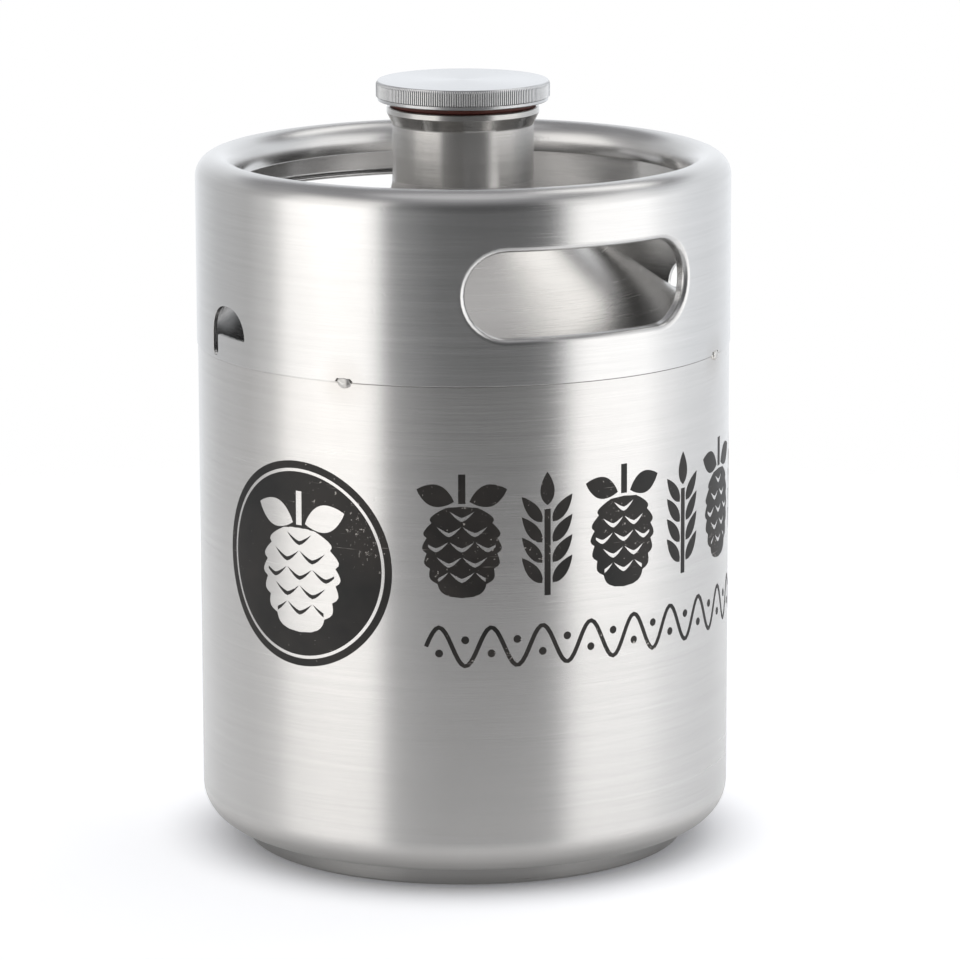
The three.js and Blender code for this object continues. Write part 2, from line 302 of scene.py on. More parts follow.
def inside(points, loops):
    """Whether each point is inside an odd number of the loops."""
    odd = np.zeros(len(points), bool)
    x, y = points[:, 0:1], points[:, 1:2]
    for loop in loops:
        x0, y0 = loop[:, 0], loop[:, 1]
        x1, y1 = np.roll(x0, -1), np.roll(y0, -1)
        crosses = (y0 > y) != (y1 > y)
        height = np.where(y1 == y0, 1, y1 - y0)
        odd ^= (crosses & (x < x0 + (y - y0) / height * (x1 - x0))).sum(axis=1) % 2 == 1
    return odd


# ---- Vessel ----

DOME_SKIRT = 2.9  # height of the dome's straight skirt
WELD_SINK = 0.55  # of the girth weld under the wall
WELD_RISE_MIDDLE = -26  # degrees from the front left tack, where the weld comes up flush
WELD_RISE_REACH = 30
WELD_RISE_FADE = 8
FOOT_SHEET = 1.2


def body():
    """The drawn lower vessel, with its top edge just under the collar."""
    top = COLLAR_LOW - SEAM_GAP
    inner_r = BODY_R - VESSEL_SHEET
    bottom = BODY_LOW + VESSEL_SHEET
    return turned_piece("vessel_body", [
        [0, BODY_LOW, 0], [BODY_R, BODY_LOW, BASE_CORNER_R], [BODY_R, top, EDGE_ROUNDING],
        [inner_r, top, EDGE_ROUNDING], [inner_r, bottom, BASE_CORNER_R - VESSEL_SHEET],
        [0, bottom, 0],
    ], closed=False)


def dome_line():
    """The centre of the shoulder's arc, and a function for the outer cone's height."""
    centre = np.array([DOME_R - DOME_CORNER_R, DOME_LOW + DOME_SKIRT])
    start = centre + DOME_CORNER_R * np.array([math.sin(DOME_SLOPE), math.cos(DOME_SLOPE)])
    return centre, lambda r: start[1] + (start[0] - r) * math.tan(DOME_SLOPE)


def dome():
    """The drawn dome: a skirt, a round shoulder and a cone up to the neck."""
    centre, cone_z = dome_line()
    hole_r = NECK_R + 0.05
    inner_r = DOME_R - VESSEL_SHEET
    drop = VESSEL_SHEET / math.cos(DOME_SLOPE)
    corner = cone_z(DOME_R)
    inner_corner = cone_z(inner_r) - drop
    return turned_piece("vessel_dome", [
        [DOME_R, DOME_LOW, 0.2], [DOME_R, corner, DOME_CORNER_R],
        [hole_r, cone_z(hole_r), 0.1], [hole_r, cone_z(hole_r) - drop, 0.1],
        [inner_r, inner_corner, DOME_CORNER_R - VESSEL_SHEET], [inner_r, DOME_LOW, 0.2],
    ])


def seam_weld():
    """The girth weld, a slightly uneven bead sunk in the seam. It comes up flush with the wall
    beside the front left tack weld."""
    angles = round_angles(WIDE_SEGMENTS)
    sunk_r = BODY_R - WELD_SINK
    points, normals, runs = rounded([
        [DOME_R + 0.02, COLLAR_LOW - 0.65, 0.1], [sunk_r, COLLAR_LOW - 0.6, 0.2],
        [sunk_r, COLLAR_LOW + 0.05, 0.05], [DOME_R + 0.02, COLLAR_LOW + 0.05, 0.05],
    ])
    wave = np.array([noise.noise(Vector((9 * math.sin(a), 9 * math.cos(a), 0))) for a in angles])
    from_tack = np.degrees(wrapped(angles - TACK_ANGLES[0], -math.pi))
    beside = np.abs(from_tack - WELD_RISE_MIDDLE)
    lift = 0.06 * wave + 0.5 * np.clip((WELD_RISE_REACH - beside) / WELD_RISE_FADE, 0, 1)
    outer = points[:, 0] > sunk_r - 0.3
    radius = points[:, 0] + lift[:, None] * outer
    shell = Shell()
    shell.grid(place(angles[:, None], radius, points[:, 1]),
               place(angles[:, None], normals[:, 0], normals[:, 1]), runs)
    return shell.build("seam_weld")


def foot():
    """The foot ring, rolled round at its lower edge."""
    inner_r = FOOT_R - FOOT_SHEET
    top = BODY_LOW - 0.02
    return turned_piece("foot", [
        [inner_r, 0, 0.55], [FOOT_R, 0, 0.55], [FOOT_R, top, 0.1], [inner_r, top, 0.1],
    ])


# ---- Collar ----

COLLAR_START = math.radians(65)  # where the flattened wall begins, clear of every opening
SLOT_LENGTH = 68.2
SLOT_HEIGHT = 24.6
SLOT_Z = 152.2
SLOT_BEND_R = 1.6
SLOT_DEPTH = 3.2
DRAIN_HALF_WIDTH = 8.5
DRAIN_ARCH = 7.9
DRAIN_FLAT_Z = 136.2
DRAIN_LEG_WIDTH = 3.3
DRAIN_LEG_DEPTH = 5.6  # down from the drain's flat edge
NOTCH_WIDTH = 5.2
NOTCH_HEIGHT = 0.9
BEND_STEP = math.radians(1.0) * COLLAR_R


def slot_outline():
    """The outer line of a hand slot's bend, about the slot's centre."""
    half, high = SLOT_LENGTH / 2, SLOT_HEIGHT / 2
    return rounded([[-half, SLOT_Z - high, high], [half, SLOT_Z - high, high],
                    [half, SLOT_Z + high, high], [-half, SLOT_Z + high, high]], step=BEND_STEP)


def drain_outline():
    """An arched opening with a narrow leg going down from its left end."""
    left, right = -DRAIN_HALF_WIDTH, DRAIN_HALF_WIDTH
    low = DRAIN_FLAT_Z - DRAIN_LEG_DEPTH
    high = DRAIN_FLAT_Z + DRAIN_ARCH
    leg = left + DRAIN_LEG_WIDTH
    end_r = DRAIN_LEG_WIDTH / 2
    arch_r = DRAIN_ARCH - 0.4
    return rounded([
        [left, low, end_r], [leg, low, end_r], [leg, DRAIN_FLAT_Z, 0.5],
        [right, DRAIN_FLAT_Z, 0.4], [right, high, arch_r], [left, high, arch_r],
    ], step=BEND_STEP)


def bottom_outline(start, end):
    """The collar's bottom edge from end back to start, going up round each notch."""
    low = COLLAR_LOW + EDGE_ROUNDING
    high = low + NOTCH_HEIGHT
    half = NOTCH_WIDTH / 2
    middles = sorted(wrapped(angle, start / COLLAR_R) * COLLAR_R for angle in TACK_ANGLES)
    corners = [[end, low, 0]]
    for middle in reversed(middles):
        corners += [[middle + half, low, 0.3], [middle + half - 0.9, high, 0.25],
                    [middle - half + 0.6, high, 0.25], [middle - half, low, 0.3]]
    corners.append([start, low, 0])
    return rounded(corners, closed=False, step=BEND_STEP)


def wrapped(angle, start):
    """The same angles, in the turn that begins at start."""
    return start + (angle - start) % (2 * math.pi)


def flange_section():
    """The bend round a hand slot, as [towards the opening, inwards]."""
    sheet = COLLAR_SHEET
    return rounded([
        [0, 0, 0], [SLOT_BEND_R, 0, SLOT_BEND_R - 1e-3], [SLOT_BEND_R, SLOT_DEPTH, 0.45],
        [SLOT_BEND_R - sheet, SLOT_DEPTH, 0.45],
        [SLOT_BEND_R - sheet, sheet, SLOT_BEND_R - sheet - 1e-3], [0, sheet, 0],
    ], closed=False)


def cut_section():
    """A plain cut edge of the collar's sheet, its two corners just broken."""
    return rounded([
        [0, 0, 0], [EDGE_ROUNDING, 0, EDGE_ROUNDING - 1e-3],
        [EDGE_ROUNDING, COLLAR_SHEET, EDGE_ROUNDING - 1e-3], [0, COLLAR_SHEET, 0],
    ], closed=False)


def sweep_edge(shell, outline, section):
    """Follows an outline on the collar with the section of its edge."""
    spots, sides, _ = outline
    steps, facing, run = section
    towards = -sides
    s = spots[:, None, 0] + towards[:, None, 0] * steps[:, 0]
    z = spots[:, None, 1] + towards[:, None, 1] * steps[:, 0]
    angle = s / COLLAR_R
    radius = COLLAR_R - steps[None, :, 1]
    along = rightwards(angle)
    outwards = place(angle, 1.0, 0.0)
    normals = (towards[:, None, 0:1] * facing[:, 0:1] * along
               + towards[:, None, 1:2] * facing[:, 0:1] * np.array([0, 0, 1.0])
               - facing[:, 1:2] * outwards)
    shell.grid(place(angle, radius, z), normals, z + 0 * run)


def sheet_faces(shell, angle, z, outer_r, inner_r, triangles):
    """The outer and inner face of a sheet round the axis, over the same triangles."""
    outwards = place(angle, 1.0, 0.0)
    shell.add(place(angle, outer_r, z), outwards, z, triangles.tolist())
    shell.add(place(angle, inner_r, z), -outwards, z, triangles[:, ::-1].tolist())


def moved(outline, distance):
    """The outline, shifted along the wall."""
    points, normals, runs = outline
    return points + np.array([distance, 0]), normals, runs


def collar():
    """The carrying collar: a wall with its openings, each with its own edge, and a rolled top."""
    start = COLLAR_START * COLLAR_R
    end = start + 2 * math.pi * COLLAR_R
    columns = np.linspace(start, end, WIDE_SEGMENTS + 1)
    steps_up = 12
    rows = np.linspace(COLLAR_LOW + EDGE_ROUNDING, ROLL_Z, steps_up + 1)
    slots = [moved(slot_outline(), wrapped(a, COLLAR_START) * COLLAR_R) for a in SLOT_ANGLES]
    drains = [moved(drain_outline(), wrapped(a, COLLAR_START) * COLLAR_R) for a in DRAIN_ANGLES]
    bottom = bottom_outline(start, end)
    rim = np.concatenate([
        bottom[0],
        pairs(np.full(steps_up, start), rows[1:]),
        pairs(columns[1:], np.full(WIDE_SEGMENTS, ROLL_Z)),
        pairs(np.full(steps_up - 1, end), rows[-2:0:-1]),
    ])
    holes = [outline[0][:-1] for outline in slots + drains]
    mesh_points = np.array([[s, z] for s in columns[1:-1] for z in rows[1:-1]])
    points, triangles = fill([rim] + holes, mesh_points)
    shell = Shell()
    sheet_faces(shell, points[:, 0] / COLLAR_R, points[:, 1],
                COLLAR_R, COLLAR_R - COLLAR_SHEET, triangles)
    for outline in slots:
        sweep_edge(shell, outline, flange_section())
    for outline in drains:
        sweep_edge(shell, outline, cut_section())
    sweep_edge(shell, bottom, cut_section())
    revolve(shell, roll_profile(), columns / COLLAR_R)
    return shell.build("collar")


def roll_profile():
    """The collar's top edge, rolled inwards and down."""
    centre = np.array([COLLAR_R - ROLL_R, ROLL_Z])
    inner = ROLL_R - COLLAR_SHEET
    middle = ROLL_R - COLLAR_SHEET / 2
    tip = centre + middle * np.array([math.cos(ROLL_WRAP), math.sin(ROLL_WRAP)])
    line = Line()
    line.arc(centre, ROLL_R, 0, ROLL_WRAP)
    line.arc(tip, COLLAR_SHEET / 2, ROLL_WRAP, ROLL_WRAP + math.pi)
    line.arc(centre, inner, ROLL_WRAP, 0, side=-1)
    points, normals, runs = line.arrays()
    return points, normals, runs + ROLL_Z


# ---- Neck, gasket and cap ----

THREAD_PITCH = 3.0
THREAD_START_Z = 177.5
THREAD_DEPTH = 0.95
THREAD_FADE = 1.0  # over which the ridge comes up at an end
# Heights from the ridge's middle, in one pitch, where a row of points runs
THREAD_SHOULDERS = (-1.5, -1.2, -0.95, -0.85, -0.7, -0.55, -0.45, 0.0,
                    0.45, 0.55, 0.7, 0.85, 0.95, 1.2)


def ridge(offset, half_root, half_crest):
    """The height of a thread's ridge at a distance from its middle, and its slope."""
    t = np.clip((half_root - np.abs(offset)) / (half_root - half_crest), 0, 1)
    slope = -np.sign(offset) * 6 * t * (1 - t) / (half_root - half_crest)
    return t * t * (3 - 2 * t), slope


def thread(shell, root_r, low, high, half_root, half_crest, angles, inward):
    """A threaded surface between two heights. Its rows follow the helix, so the last column meets
    the first one a pitch higher. The ridge fades out near both ends. inward says that the surface
    faces the axis, as in the neck."""
    first = math.floor((low - THREAD_START_Z) / THREAD_PITCH) - 2
    last = math.ceil((high - THREAD_START_Z) / THREAD_PITCH) + 2
    offsets = np.array([turn * THREAD_PITCH + step
                        for turn in range(first, last) for step in THREAD_SHOULDERS])
    shares = np.array([step for _ in range(first, last) for step in THREAD_SHOULDERS])
    rise = THREAD_PITCH * angles[:, None] / (2 * math.pi)
    z = np.clip(THREAD_START_Z + offsets + rise, low, high)
    height, slope = ridge(shares, half_root, half_crest)
    strength = np.clip(np.minimum(z - low, high - z) / THREAD_FADE, 0, 1)
    radius = root_r + THREAD_DEPTH * height * strength
    tilt = THREAD_DEPTH * slope * strength
    length = np.sqrt(1 + tilt ** 2)
    side = -1 if inward else 1
    points = place(angles[:, None], radius, z)
    normals = place(angles[:, None], side / length, -side * tilt / length)
    if inward:
        points, normals, z = points[:, ::-1], normals[:, ::-1], z[:, ::-1]
    shell.grid(points, normals, z)


NECK_THREAD_LOW = 177.3
NECK_BORE_R = 15.7
FLARE_FOOT = 4.4  # from the neck's top down to where the flare begins
FLARE_EDGE = 1.5
FILLET_LEG = 4.6
GASKET_INNER_R = 15.6
GASKET_SQUASH = 0.25  # by which the gasket passes each end of its CAD node, up to its neighbours


def neck():
    """The neck bush: a tube with a flared lip, and the female thread in its bore."""
    angles = round_angles(NECK_SEGMENTS)
    bore, low, high = NECK_BORE_R, NECK_THREAD_LOW, NECK_TOP - 0.9
    outside = rounded([
        [bore, low, 0], [bore, NECK_LOW, 0.3], [NECK_R, NECK_LOW, 0.3],
        [NECK_R, NECK_TOP - FLARE_FOOT, 1.5], [LIP_R, NECK_TOP - FLARE_EDGE, 0.25],
        [LIP_R, NECK_TOP, 0.45], [bore + 1.2, NECK_TOP, 0.3], [bore, high, 0],
    ], closed=False)
    shell = Shell()
    revolve(shell, outside, angles)
    thread(shell, bore, low, high, 1.25, 0.75, angles, inward=True)
    return shell.build("neck_bush")


def neck_fillet():
    """The smooth weld at the neck's foot, hollow in section."""
    _, cone_z = dome_line()
    lift = 0.04
    hollow_r = FILLET_LEG / math.tan((math.pi / 2 - DOME_SLOPE) / 2)
    inner, side_r = NECK_R + 0.01, NECK_R + lift
    tip_r = side_r + (FILLET_LEG + 0.05) * math.cos(DOME_SLOPE)
    top = cone_z(side_r) + lift + FILLET_LEG + 0.05
    return turned_piece("neck_fillet", [
        [inner, cone_z(inner) - 0.4, 0.05], [tip_r, cone_z(tip_r) - 0.3, 0.05],
        [tip_r, cone_z(tip_r) + lift, 0.02], [side_r, cone_z(side_r) + lift, hollow_r],
        [side_r, top, 0.01], [inner, top, 0.01],
    ], NECK_SEGMENTS)


def gasket():
    """The silicone ring between the lip and the cap."""
    low, high = GASKET_LOW - GASKET_SQUASH, GASKET_HIGH + GASKET_SQUASH
    return turned_piece("gasket", [
        [GASKET_INNER_R, low, 0.5], [GASKET_R, low, 0.6],
        [GASKET_R, high, 0.6], [GASKET_INNER_R, high, 0.5],
    ], NECK_SEGMENTS)


CAP_UNDER_Z = 191.6
CAP_BEVEL = 0.45
KNURL_LOW = 192.7
KNURL_HIGH = 195.8
KNURL_DEPTH = 0.36
KNURLS = 234
KNURL_STEPS = 6
PLUG_THREAD_TOP = 189.0
PLUG_ROOT_R = 15.4
PLUG_RELIEF_R = 15.2
PLUG_HOLLOW_R = 11.5
PLUG_HOLLOW_TOP = 190.0
PLUG_STEPS = 6  # of the disc's segments in each of the plug's
DISC_INNER_R = PLUG_ROOT_R + 2  # where the disc's under face meets the ring round the plug


def knurled_disc(shell):
    """The cap's disc from its under edge, over the knurled band, to the middle of its top."""
    angles = round_angles(KNURLS * KNURL_STEPS)
    points, normals, runs = rounded([
        [DISC_INNER_R, CAP_UNDER_Z, 0], [CAP_R - CAP_BEVEL, CAP_UNDER_Z, 0.2],
        [CAP_R - KNURL_DEPTH, KNURL_LOW - 0.2, 0.06], [CAP_R, KNURL_LOW, 0.08],
        [CAP_R, KNURL_HIGH, 0.08], [CAP_R - CAP_BEVEL, CAP_TOP, 0.3], [0, CAP_TOP, 0],
    ], closed=False)
    rim = np.clip((points[:, 0] - (CAP_R - KNURL_DEPTH)) / KNURL_DEPTH, 0, 1)
    phase = KNURLS * angles[:, None]
    groove = 0.5 - 0.5 * np.cos(phase)
    cut = KNURL_DEPTH * groove ** 3 * rim
    lean = 1.5 * KNURL_DEPTH * KNURLS / CAP_R * groove ** 2 * np.sin(phase) * rim * normals[:, 0]
    facing = place(angles[:, None], normals[:, 0], normals[:, 1])
    facing = facing + lean[..., None] * rightwards(angles)[:, None, :]
    facing /= np.linalg.norm(facing, axis=-1, keepdims=True)
    grid = place(angles[:, None], points[:, 0] - cut, points[:, 1])
    shell.grid(grid, facing, runs)


def under_ring(shell):
    """The flat ring that joins the disc's many segments to the plug's few."""
    few = KNURLS * KNURL_STEPS // PLUG_STEPS
    many = place(round_angles(few * PLUG_STEPS), DISC_INNER_R, CAP_UNDER_Z)
    inner = place(round_angles(few), PLUG_RELIEF_R + 0.1, CAP_UNDER_Z)
    points = np.concatenate([many, inner])
    start = len(many)
    faces = []
    for i in range(few):
        here, following = start + i, start + i + 1
        first = i * PLUG_STEPS
        middle = first + PLUG_STEPS // 2
        faces += [[here, k + 1, k] for k in range(first, middle)]
        faces.append([here, following, middle])
        faces += [[following, k + 1, k] for k in range(middle, first + PLUG_STEPS)]
    down = np.broadcast_to([0.0, 0.0, -1.0], points.shape)
    shell.add(points, down, 0.0, faces)


def cap():
    """The screw cap, turned from one piece: a knurled disc on a hollow threaded plug."""
    shell = Shell()
    knurled_disc(shell)
    under_ring(shell)
    angles = round_angles(KNURLS * KNURL_STEPS // PLUG_STEPS)
    thread_low, thread_high = PLUG_LOW + 0.4, PLUG_THREAD_TOP
    revolve(shell, rounded([
        [0, PLUG_HOLLOW_TOP, 0], [PLUG_HOLLOW_R, PLUG_HOLLOW_TOP, 0.8],
        [PLUG_HOLLOW_R, PLUG_LOW, 0.3], [PLUG_ROOT_R - 0.4, PLUG_LOW, 0.1],
        [PLUG_ROOT_R, thread_low, 0],
    ], closed=False), angles)
    thread(shell, PLUG_ROOT_R, thread_low, thread_high, 0.95, 0.45, angles, inward=False)
    revolve(shell, rounded([
        [PLUG_ROOT_R, thread_high, 0], [PLUG_RELIEF_R, thread_high + 0.3, 0.2],
        [PLUG_RELIEF_R, CAP_UNDER_Z, 0.1], [PLUG_RELIEF_R + 0.1, CAP_UNDER_Z, 0],
    ], closed=False), angles)
    return shell.build("cap")


# ---- Welds ----

BEAD_LUMPS = 0.22
TACK_SIZE = (3.9, 1.7, 2.7)
FOOT_BEAD_SIZE = (7, 2.6, 2.6)


def weld_bead(name, size, angle, radius, z, seed):
    """A small uneven blob of weld, size being its width, depth and height."""
    rings, segments = 24, 36
    shell = Shell()
    upward = np.linspace(-math.pi / 2, math.pi / 2, rings + 1)
    around = round_angles(segments)
    ball = np.stack(np.broadcast_arrays(
        np.cos(upward) * np.sin(around[:, None]), -np.cos(upward) * np.cos(around[:, None]),
        np.sin(upward)), axis=-1)
    lumps = [[noise.noise(Vector(p) * 1.3 + Vector((seed, 0, 0))) for p in row] for row in ball]
    blob = ball * (1 + BEAD_LUMPS * np.array(lumps)[..., None]) * np.array(size) / 2
    blob[-1] = blob[0]
    turn = np.array(Matrix.Rotation(angle, 3, "Z"))
    centre = place(angle, radius, z)
    shell.grid(blob @ turn.T + centre, ball @ turn.T, blob[..., 2] + z)
    return shell.build(name, smooth_normals=True)


def tack_welds():
    """The four welds that hold the collar to the vessel, each with its own shape."""
    made = []
    for i, angle in enumerate(TACK_ANGLES):
        width, depth, height = TACK_SIZE
        size = (width, depth, height + 0.2 * (i % 2))
        made.append(weld_bead(f"tack_weld_{i + 1}", size, angle, BODY_R - 0.15,
                              COLLAR_LOW - 0.1, 7.3 * i))
    return made


def foot_welds():
    """The four welds inside the foot ring."""
    made = []
    for i in range(4):
        low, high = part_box(f"foot_tack_weld_{i + 1}")
        middle = (low + high) / 2 / MM
        angle = math.atan2(middle.x, -middle.y)
        made.append(weld_bead(f"foot_weld_{i + 1}", FOOT_BEAD_SIZE, angle,
                              math.hypot(middle.x, middle.y) + 0.6, BODY_LOW - 1.0, 3.1 * i + 40))
    return made


# ---- Printed ornament ----

INK_LIFT = 0.035
INK_SINK = 0.005
PRINT_STEP = math.radians(1.5) * BODY_R
PRINT_START = math.radians(-35.4)
BADGE_ANGLE = math.radians(-64.45)
BADGE_R = 26.1
BADGE_Z = 82.6
BADGE_RING = 0.8
PLANT_LOW, PLANT_HIGH = 76.8, 108.0
PLANT_WIDTH = 18.5
PLANT_SPACING = 21.5
PLANTS = 7
WAVE_Z = 64.4
WAVE_LENGTH = 13.0
WAVE_HEIGHT = 4.9
WAVE_END = math.radians(90)


def circle(x, z, radius):
    """A closed circle of points."""
    count = max(16, math.ceil(2 * math.pi * radius / 1.2))
    turns = np.linspace(0, 2 * math.pi, count, endpoint=False)
    return pairs(x + radius * np.cos(turns), z + radius * np.sin(turns))


def leaf(x, z, length, width, lean, blunt=1.0):
    """A pointed leaf from its foot at x, z, leaning clockwise from upright by lean."""
    steps = max(8, math.ceil(length / 0.9))
    along = np.linspace(0, 1, steps + 1)
    half = width / 2 * np.sin(math.pi * along ** blunt) ** 0.85
    right = pairs(half, along * length)
    left = pairs(-half, along * length)[-2:0:-1]
    shape = np.concatenate([right, left])
    c, s = math.cos(lean), math.sin(lean)
    return shape @ np.array([[c, -s], [s, c]]) + np.array([x, z])


CONE_ROWS = 6


def egg_half(width, share):
    """The half width of a hop cone at a share of its height, from the tip up."""
    widest = 0.58
    reach = np.where(share < widest, widest, 0.45)
    return width / 2 * np.sqrt(np.clip(1 - ((share - widest) / reach) ** 2, 0, 1))


def hop_cone(x, z, width, height):
    """A hanging hop cone: a scalloped outline with thin gaps under its scales, a stalk and two
    leaves."""
    tall = height * 0.74
    side = cone_side(width * 0.94, tall)
    mirrored = side[::-1] * np.array([-1, 1])
    outline = np.concatenate([side, mirrored[:-1]]) + np.array([x, z])
    shapes = [outline] + scale_gaps(x, z, width * 0.94, tall)
    top = z + tall + 0.7
    shapes.append(rectangle(x - 0.9, x + 0.9, top, z + height))
    for way in (-1, 1):
        shapes.append(leaf(x + way * 1.9, top + 0.5, width * 0.53, width * 0.3,
                           way * math.radians(72)))
    return shapes


def cone_side(width, tall):
    """The right side of a hop cone from its tip to its top, with a tooth for each scale."""
    steps = 6
    points = [[0.0, 0.0]]
    for row in range(CONE_ROWS):
        for step in range(steps):
            part = (step + 0.5) / steps
            share = (row + part) / CONE_ROWS
            tooth = width * 0.07 * math.sin(math.pi * math.sqrt(part))
            points.append([float(egg_half(width, share)) + tooth, share * tall])
    points.append([0.0, tall])
    return np.array(points)


def scale_gaps(x, z, width, tall):
    """Thin crescents, thickest at their lowest point, that part the scales of a hop cone."""
    pitch = width / 2.7
    reach = pitch * 0.47
    stroke = 1.0
    gaps = []
    for row in range(1, CONE_ROWS):
        low = tall * row / CONE_ROWS
        rise = tall / CONE_ROWS * 0.66
        room = min(egg_half(width, (row + part) / CONE_ROWS) for part in (0, 0.66)) - 0.25
        offset = 0.0 if row % 2 else pitch / 2
        for column in range(-2, 3):
            middle = offset + column * pitch
            start, end = max(-1, (-room - middle) / reach), min(1, (room - middle) / reach)
            if end - start < 0.8:
                continue
            sweep = np.linspace(start, end, 9)
            across = x + middle + reach * sweep
            under = z + low + rise * np.abs(sweep) ** 1.5
            above = under + stroke * (1.04 - sweep ** 2)
            gaps.append(np.concatenate([pairs(across, under), pairs(across, above)[::-1]]))
    return gaps


def barley_ear(x, z, width, height):
    """An upright ear of barley: a stem with pairs of grains and one at its top."""
    grain_pairs = 4
    lean = math.radians(38)
    grain = height * 0.27
    spacing = height * 0.165
    shapes = [rectangle(x - 0.8, x + 0.8, z, z + height * 0.7)]
    for i in range(grain_pairs):
        low = z + height * 0.1 + i * spacing
        for side in (-1, 1):
            shapes.append(leaf(x + side * 1.4, low, grain, width * 0.17, side * lean, blunt=0.8))
    shapes.append(leaf(x, z + height * 0.73, grain, width * 0.2, 0.0, blunt=0.8))
    return shapes


def rectangle(left, right, low, high):
    """A rectangle with points all along its two sides."""
    rows = np.linspace(low, high, max(2, math.ceil((high - low) / 1.5)) + 1)
    up = pairs(np.full(len(rows), right), rows)
    down = pairs(np.full(len(rows), left), rows[::-1])
    return np.concatenate([up, down])


def wave_line(start, end, middle, height, length, stroke):
    """A thin wave, closed round its stroke."""
    s = np.arange(start, end, 0.8)
    phase = 2 * math.pi * (s - start) / length
    z = middle + height * np.sin(phase)
    slope = height * 2 * math.pi / length * np.cos(phase)
    out = pairs(-slope, np.ones_like(slope))
    out *= stroke / 2 / np.hypot(out[:, 0], out[:, 1])[:, None]
    line = pairs(s, z)
    return np.concatenate([line - out, (line + out)[::-1]])


def facing_out(loops):
    """The loops, counterclockwise where they bound ink from outside and clockwise round a gap."""
    made = []
    for i, loop in enumerate(loops):
        others = loops[:i] + loops[i + 1:]
        gap = inside(loop[:1], others)[0] if others else False
        x, y = loop[:, 0], loop[:, 1]
        area = np.sum(x * np.roll(y, -1) - np.roll(x, -1) * y)
        made.append(loop if (area > 0) != gap else loop[::-1])
    return made


def ink(name, loops, angle):
    """Printed ink on the vessel's wall: shapes in [arc length, height] about an angle."""
    loops = facing_out(loops)
    everything = np.concatenate(loops)
    low, high = everything.min(axis=0), everything.max(axis=0)
    spread = [[s, z] for s in np.arange(low[0], high[0], PRINT_STEP)
              for z in np.arange(low[1], high[1], 3.0)]
    points, triangles = fill(loops, np.array(spread) + 0.013)
    outer, inner = BODY_R + INK_LIFT, BODY_R - INK_SINK
    shell = Shell()
    sheet_faces(shell, angle + points[:, 0] / BODY_R, points[:, 1], outer, inner, triangles)
    for loop in loops:
        closed = np.concatenate([loop, loop[:1]])
        turn = angle + closed[:, 0:1] / BODY_R
        radii = np.array([[inner, outer]])
        wall = place(turn, radii, closed[:, 1:2])
        shell.grid(wall, place(turn + 0 * radii, 1.0, 0.0), closed[:, 1:2] + 0 * radii)
    return shell.build(name)


def badge():
    """The round badge: a dark disc with a thin bare ring and a bare hop cone."""
    ring_r = BADGE_R - 1.9
    loops = [circle(0, BADGE_Z, r) for r in (BADGE_R, ring_r, ring_r - BADGE_RING)]
    loops += hop_cone(0, BADGE_Z - 17.5, 23, 36)
    return ink("print_badge", loops, BADGE_ANGLE)


def plant_band():
    """The bold row of hop cones and barley ears round the front."""
    loops = []
    for i in range(PLANTS):
        middle = PRINT_START * BODY_R + 9 + i * PLANT_SPACING
        motif = hop_cone if i % 2 == 0 else barley_ear
        loops += motif(middle, PLANT_LOW, PLANT_WIDTH, PLANT_HIGH - PLANT_LOW)
    return ink("print_plants", loops, 0.0)


def wave_band():
    """The light row under the plants: a thin wave with a dot in each hollow."""
    start, end = PRINT_START * BODY_R, WAVE_END * BODY_R
    loops = [wave_line(start, end, WAVE_Z, WAVE_HEIGHT, WAVE_LENGTH, 1.1)]
    for i in range(int((end - start) / WAVE_LENGTH * 2) - 1):
        side = -1 if i % 2 == 0 else 1
        middle = start + (i + 0.5) * WAVE_LENGTH / 2
        loops.append(circle(middle, WAVE_Z + side * WAVE_HEIGHT * 0.35, 1.0))
    return ink("print_wave", loops, 0.0)


# ---- Materials ----

WHITE = [1.0, 1.0, 1.0, 1.0]


class Nodes:
    """Adds nodes to a tree. An input given as a socket is linked, and anything else is its value."""

    def __init__(self, tree):
        self.tree = tree
        tree.nodes.clear()

    def add(self, kind, inputs=None, **settings):
        node = self.tree.nodes.new("ShaderNode" + kind)
        for name, value in settings.items():
            setattr(node, name, value)
        for name, value in (inputs or {}).items():
            if isinstance(value, bpy.types.NodeSocket):
                self.tree.links.new(value, node.inputs[name])
            else:
                node.inputs[name].default_value = value
        return node

    def math(self, operation, first, second=0.0, third=0.0):
        node = self.add("Math", {0: first, 1: second, 2: third}, operation=operation)
        return node.outputs[0]

    def range(self, value, from_low, from_high, to_low=0.0, to_high=1.0, smooth=False):
        node = self.add("MapRange", {
            "Value": value, "From Min": from_low, "From Max": from_high,
            "To Min": to_low, "To Max": to_high,
        }, interpolation_type="SMOOTHSTEP" if smooth else "LINEAR")
        return node.outputs["Result"]

    def position(self):
        """The place on the keg, in metres."""
        return self.add("TexCoord").outputs["Object"]

    def bump(self, strength, distance, height):
        """A normal bent by a height, which stands for a distance in metres."""
        node = self.add("Bump", {"Strength": strength, "Distance": distance, "Height": height})
        return node.outputs[0]

    def noise(self, vector, scale, detail=2.0, roughness=0.5):
        node = self.add("TexNoise", {
            "Vector": vector, "Scale": scale, "Detail": detail, "Roughness": roughness,
        })
        return node.outputs["Fac"]


def mix_node(nodes, share, first, second):
    """A colour mix, by socket number because the sockets of each data type share names."""
    node = nodes.add("Mix", data_type="RGBA")
    for index, value in ((0, share), (6, first), (7, second)):
        if isinstance(value, bpy.types.NodeSocket):
            nodes.tree.links.new(value, node.inputs[index])
        else:
            node.inputs[index].default_value = value
    return node.outputs[2]


def new_material(name):
    """An empty material, and the builder of its nodes."""
    material = bpy.data.materials.new(name)
    material.use_nodes = True
    return material, Nodes(material.node_tree)


